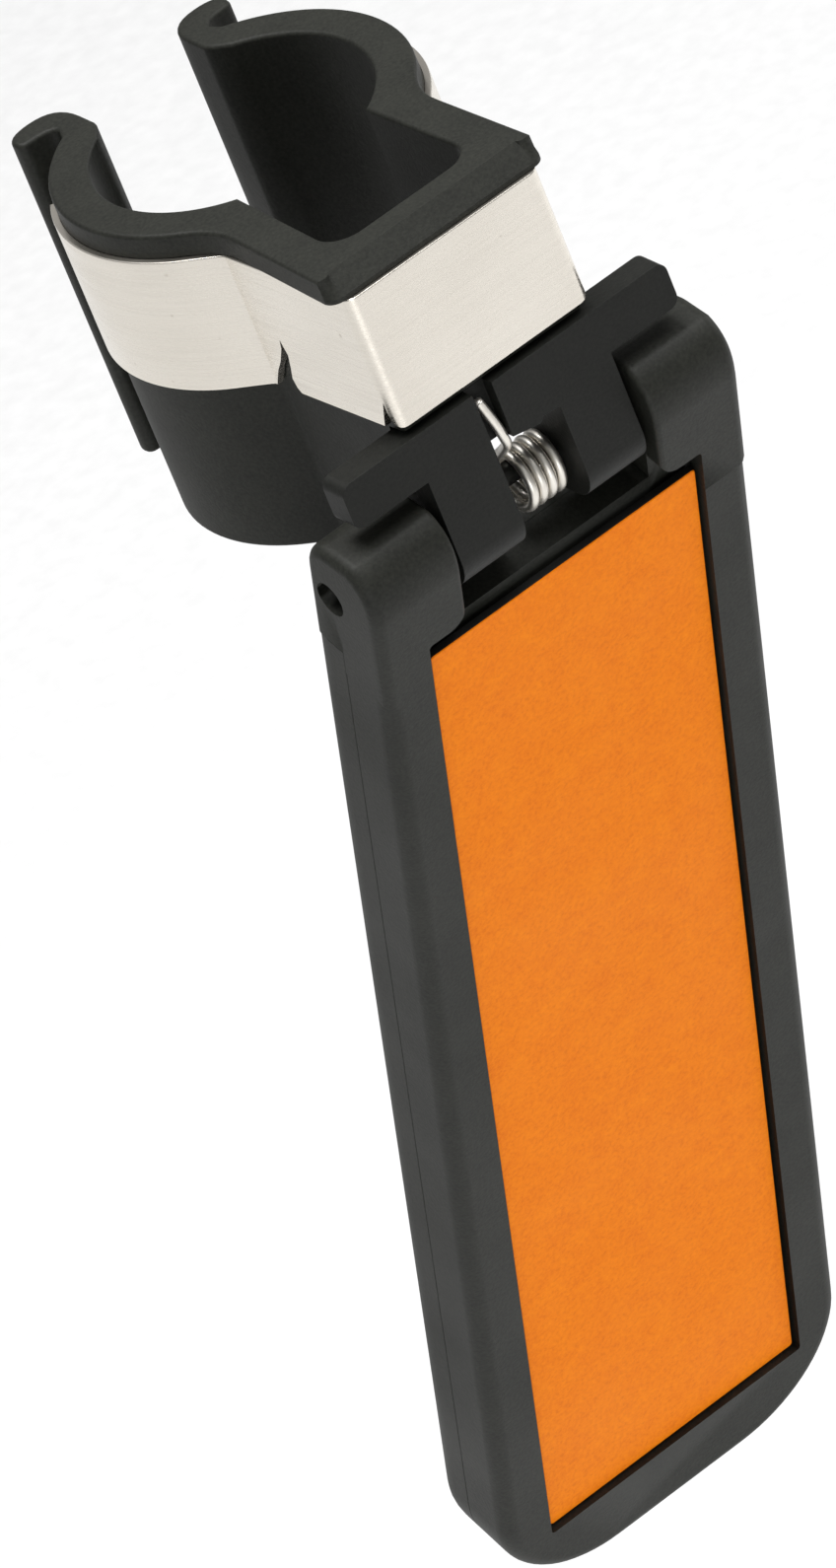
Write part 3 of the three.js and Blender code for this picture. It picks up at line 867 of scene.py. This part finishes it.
def spring_route():
    """The wire's middle line: the fixed leg, the coil, and the leg that runs into the flap."""
    points = [Vector(point) for point in BRACKET_LEG]
    swept = COIL_END_ANGLE - COIL_START_ANGLE
    steps = round(swept * COIL_STEPS_PER_TURN / (2 * math.pi))
    points += [on_coil(COIL_START_ANGLE + swept * i / steps) for i in range(steps + 1)]
    along = Vector((0, math.sin(FLAP_LEAN), -math.cos(FLAP_LEAN)))
    end = points[-1]
    points += [end + along * FLAP_LEG_LENGTH * i / 6 for i in range(1, 7)]
    return points


def smooth_route(points, rounds=2):
    """Corner cutting, which keeps both ends."""
    for _ in range(rounds):
        softer = [points[0]]
        for a, b in zip(points, points[1:]):
            softer += [a.lerp(b, 0.25), a.lerp(b, 0.75)]
        points = softer + [points[-1]]
    return points


def tube(name, route, radius, place, sides=14):
    """A round wire along the route, with domed ends."""
    tangents = []
    for i in range(len(route)):
        ahead = route[min(i + 1, len(route) - 1)]
        behind = route[max(i - 1, 0)]
        tangents.append((ahead - behind).normalized())
    side = tangents[0].orthogonal().normalized()
    # A dome's rings, as (distance from the wire's end, share of its radius).
    dome = [(0.0, 0.35), (0.125 * radius, 0.72), (0.3 * radius, 0.93)]
    first, last = tangents[0], tangents[-1]
    rings = []
    for depth, share in dome:
        rings.append((route[0] + first * depth, first, radius * share))
    for point, tangent in zip(route[1:-1], tangents[1:-1]):
        rings.append((point, tangent, radius))
    for depth, share in reversed(dome):
        rings.append((route[-1] - last * depth, last, radius * share))
    verts = []
    for centre, tangent, size in rings:
        side = (side - tangent * side.dot(tangent)).normalized()
        other = tangent.cross(side)
        for i in range(sides):
            angle = 2 * math.pi * i / sides
            verts.append(centre + (side * math.cos(angle) + other * math.sin(angle)) * size)
    faces = [tuple(range(sides)), tuple(range(len(verts) - sides, len(verts)))]
    for ring in range(len(rings) - 1):
        for i in range(sides):
            j = (i + 1) % sides
            base = ring * sides
            faces.append((base + i, base + j, base + sides + j, base + sides + i))
    return mesh_object(name, verts, faces, place)


def make_torsion_spring():
    spring = tube("spring_wire", smooth_route(spring_route()), WIRE_RADIUS, HINGE_PLACE)
    for face in spring.data.polygons:
        face.use_smooth = True
    spring.data.materials.append(SPRING_STEEL)
    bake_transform(spring)
    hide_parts("torsion_spring")


def cross_recess(depth_low, depth_high, centre, place, size):
    """Two crossed bars that cut the driver's slot into a screw head."""
    bars = []
    for half_x, half_z in ((size, size * 0.22), (size * 0.22, size)):
        low = (centre[0] - half_x, centre[1] - half_z)
        high = (centre[0] + half_x, centre[1] + half_z)
        outline = rounded_box(low, high, size * 0.1, 2)
        bars.append(prism("recess", outline, depth_low, depth_high, along_front, place))
    return bars


def make_shell_screws():
    face = FLAP_BACK + SHELL_SCREW_SINK
    for number, centre in enumerate(SHELL_SCREWS, 1):
        screw = turned(f"case_screw_{number}", SHELL_SCREW_PROFILE, face, centre, FLAP_PLACE)
        floor = face + SHELL_RECESS_DEPTH
        cut(screw, cross_recess(face - 1, floor, centre, FLAP_PLACE, SHELL_RECESS_SIZE))
        soften(screw, 0.06, 2)
        finish_piece(screw, "flap", SPRING_STEEL, "spring_steel", f"shell_screw_{number}")


def make_bracket_screws():
    face = CHANNEL_END - BRACKET_SCREW_SINK
    for name, x in zip(("bracket_screw_left", "bracket_screw_right"), BRACKET_SCREWS):
        centre = (x, BRACKET_SCREW_Z)
        screw = turned(name + "_fine", BRACKET_SCREW_PROFILE, face, centre, CLIP_PLACE)
        floor = face - BRACKET_RECESS_HEIGHT
        cut(screw, cross_recess(face - 2, floor, centre, CLIP_PLACE, BRACKET_RECESS_SIZE))
        soften(screw, 0.05, 2)
        finish_piece(screw, "clip", SPRING_STEEL, "spring_steel", name)


# ---------- flap ----------


def flap_outline(top_down, side_inset=0.0):
    """The flap seen from the front, from a top edge down to the round lower corners."""
    side = FLAP_HALF_WIDTH - side_inset
    end = -FLAP_END + side_inset
    corner = FLAP_CORNER - side_inset
    points = [(-side, -top_down)]
    points += arc((-side + corner, end + corner), corner, math.pi, 1.5 * math.pi, 18)
    points += arc((side - corner, end + corner), corner, 1.5 * math.pi, 2 * math.pi, 18)
    return points + [(side, -top_down)]


def flap_knuckle_section():
    """The flap's knuckle, as (front, up) points: flat front and back with a rounded top."""
    points = [(FLAP_FRONT, -10.0), (FLAP_FRONT, 1.0)]
    points += bow(points[-1], (5.95, 5.4), (2.6, 6.2), 10)
    points += [(-0.6, 5.6)]
    points += bow(points[-1], (FLAP_BACK, 4.8), (FLAP_BACK, 2.0), 6)
    return points + [(FLAP_BACK, -10.0)]


def recess_outline():
    """The open front: the gap between the knuckles and the plate's recess below it."""
    gap = FLAP_KNUCKLE_INNER
    wide = RECESS_HALF_WIDTH
    corner = 2.0
    half = [(0, -RECESS_BOTTOM)]
    half += arc((wide - 0.4, -RECESS_BOTTOM + 0.4), 0.4, -math.pi / 2, 0, 4)
    half += arc((wide - 0.4, -RECESS_TOP - 0.4), 0.4, 0, math.pi / 2, 4)
    half += arc((gap + corner, -RECESS_TOP + corner), corner, 1.5 * math.pi, math.pi, 6)
    half += [(gap, FAR)]
    return half + mirrored(half)[:-1]


def make_flap_knuckles():
    inner, outer = FLAP_KNUCKLE_INNER, FLAP_HALF_WIDTH
    small, large = FLAP_KNUCKLE_INNER_EDGE, FLAP_KNUCKLE_OUTER_EDGE
    section = flap_knuckle_section()
    left = prism("left", section, -outer, -inner, along_x, FLAP_PLACE, large, small)
    right = prism("right", section, inner, outer, along_x, FLAP_PLACE, small, large)
    return [left, right]


def pin_holes():
    """Cutters for the pin's bore and the counterbore at each end of it."""
    depth = FLAP_HALF_WIDTH - PIN_COUNTERBORE_DEPTH
    holes = [round_bar("bore", PIN_HOLE_RADIUS, -FAR, FAR, (0, 0), along_x, FLAP_PLACE)]
    for low, high in ((-FAR, -depth), (depth, FAR)):
        radius = PIN_COUNTERBORE_RADIUS
        holes.append(round_bar("counterbore", radius, low, high, (0, 0), along_x, FLAP_PLACE))
    return holes


def make_front_shell():
    outline = flap_outline(RECESS_TOP)
    levels = rounded_levels(outline, PARTING, FLAP_FRONT, PARTING_EDGE, FLAP_EDGE, 6)
    shell = loft("front_frame", levels, along_front, FLAP_PLACE)
    join(shell, make_flap_knuckles())
    gap = rectangle((-FLAP_KNUCKLE_INNER, -CROSSBAR_TOP), (FLAP_KNUCKLE_INNER, FAR))
    hollow = flap_outline(HOLLOW_TOP, SIDE_WALL)
    below = rectangle((-FAR, -FAR), (FAR, -KNUCKLE_BOTTOM))
    cutters = [
        prism("gap", gap, -FAR, FAR, along_front, FLAP_PLACE),
        prism("recess", recess_outline(), RECESS_FLOOR, FAR, along_front, FLAP_PLACE),
        prism("hollow", hollow, -FAR, RECESS_FLOOR - FRONT_WALL, along_front, FLAP_PLACE),
        prism("below_knuckles", below, -FAR, PARTING, along_front, FLAP_PLACE),
    ]
    cut(shell, cutters + pin_holes())
    soften(shell, 0.14)
    finish_piece(shell, "flap", BLACK, "black_plastic", "front_shell")


def spring_leg_hole():
    """A cutter for the hole in the rear shell's top edge that takes the spring's leg."""
    leg = Matrix.Rotation(-FLAP_LEAN, 3, "X") @ on_coil(COIL_END_ANGLE)
    low = -REAR_SHELL_TOP - LEG_HOLE_DEPTH
    high = -REAR_SHELL_TOP + 1
    return round_bar("leg_hole", LEG_HOLE_RADIUS, low, high, (leg.x, leg.y), along_z, FLAP_PLACE)


def make_rear_shell():
    outline = flap_outline(REAR_SHELL_TOP - 3)
    straight = FLAP_HALF_WIDTH - 0.5
    back_edge = [BACK_SIDE_EDGE if abs(x) > straight else BACK_END_EDGE for x, _ in outline]
    front = PARTING - PARTING_GAP
    levels = rounded_levels(outline, FLAP_BACK, front, back_edge, PARTING_EDGE, 5)
    shell = loft("rear_cover", levels, along_front, FLAP_PLACE)
    hollow = flap_outline(HOLLOW_TOP, SIDE_WALL)
    above = rectangle((-FAR, -REAR_SHELL_TOP), (FAR, FAR))
    cutters = [
        prism("hollow", hollow, FLAP_BACK + BACK_WALL, FAR, along_front, FLAP_PLACE),
        prism("above", above, -FAR, FAR, along_front, FLAP_PLACE),
        spring_leg_hole(),
    ]
    for centre in SHELL_SCREWS:
        cutters.append(turned("countersink", COUNTERSINK_PROFILE, FLAP_BACK, centre, FLAP_PLACE))
    cut(shell, cutters)
    soften(shell, 0.08, 2)
    finish_piece(shell, "flap", BLACK, "black_plastic", "rear_shell")


def make_insert_plate():
    outline = rounded_box((-PLATE_HALF_WIDTH, -PLATE_BOTTOM), (PLATE_HALF_WIDTH, -PLATE_TOP), 0.4)
    levels = rounded_levels(outline, PLATE_BACK, PLATE_FRONT, 0.1, 0.18, 3)
    plate = loft("orange_insert", levels, along_front, FLAP_PLACE)
    soften(plate, 0.03, 2)
    finish_piece(plate, "flap", ORANGE, "orange_plate", "insert_plate")
    # The cut edges of the plate are dark.
    plate.data.materials.append(PLATE_EDGE)
    outward = FLAP_PLACE.to_3x3() @ Vector((0, -1, 0))
    for face in plate.data.polygons:
        face.material_index = 0 if face.normal.dot(outward) > 0.3 else 1


def finish_adhesive_sheet():
    """The hidden film stays as the CAD made it, and only gets its material."""
    sheet = frame["nodes"]["adhesive_sheet"]
    sheet.data.materials.clear()
    sheet.data.materials.append(TAPE)


# ---------- stage ----------


def make_camera():
    a, e = CAMERA_AZIMUTH, CAMERA_ELEVATION
    back = Vector((math.sin(a) * math.cos(e), -math.cos(a) * math.cos(e), math.sin(e)))
    level_right = Vector((math.cos(a), math.sin(a), 0))
    level_up = back.cross(level_right)
    right = level_right * math.cos(CAMERA_ROLL) + level_up * math.sin(CAMERA_ROLL)
    up = back.cross(right)
    data = bpy.data.cameras.new("camera")
    data.lens = CAMERA_LENS
    data.sensor_width = 36
    data.clip_start = 0.05
    camera = bpy.data.objects.new("camera", data)
    turn = Matrix((right, up, back)).transposed().to_4x4()
    camera.matrix_world = Matrix.Translation(CAMERA_AIM + back * CAMERA_DISTANCE) @ turn
    bpy.context.scene.collection.objects.link(camera)
    bpy.context.scene.camera = camera


def make_light(name, place, size, power, aim):
    data = bpy.data.lights.new(name, "AREA")
    data.shape = "DISK"
    data.size = size
    data.energy = power
    light = bpy.data.objects.new(name, data)
    light.location = place
    light.rotation_mode = "QUATERNION"
    light.rotation_quaternion = (aim - Vector(place)).to_track_quat("-Z", "Y")
    bpy.context.scene.collection.objects.link(light)


def make_floor():
    half = FLOOR_HALF_WIDTH
    floor_z = cad_low.z - FLOOR_DROP
    corners = [(x, y, floor_z) for x, y in rectangle((-half, -half), (half, half))]
    mesh = bpy.data.meshes.new("floor")
    mesh.from_pydata(corners, [], [(0, 1, 2, 3)])
    mesh.materials.append(make_floor_material())
    floor = bpy.data.objects.new("floor", mesh)
    bpy.context.scene.collection.objects.link(floor)


def make_studio():
    middle = (cad_low + cad_high) / 2
    for name, place, size, power in LIGHTS:
        make_light(name, place, size, power, middle)
    world = bpy.data.worlds.new("studio")
    world.use_nodes = True
    background = world.node_tree.nodes["Background"]
    background.inputs["Color"].default_value = (1, 1, 1, 1)
    background.inputs["Strength"].default_value = WORLD_STRENGTH
    bpy.context.scene.world = world
    bpy.context.scene.view_settings.view_transform = "Standard"


make_clip_body()
make_steel_band()
make_hinge_bracket()
make_bracket_screws()
make_torsion_spring()
make_hinge_pin()
make_front_shell()
make_rear_shell()
make_insert_plate()
make_shell_screws()
finish_adhesive_sheet()
make_camera()
make_floor()
make_studio()
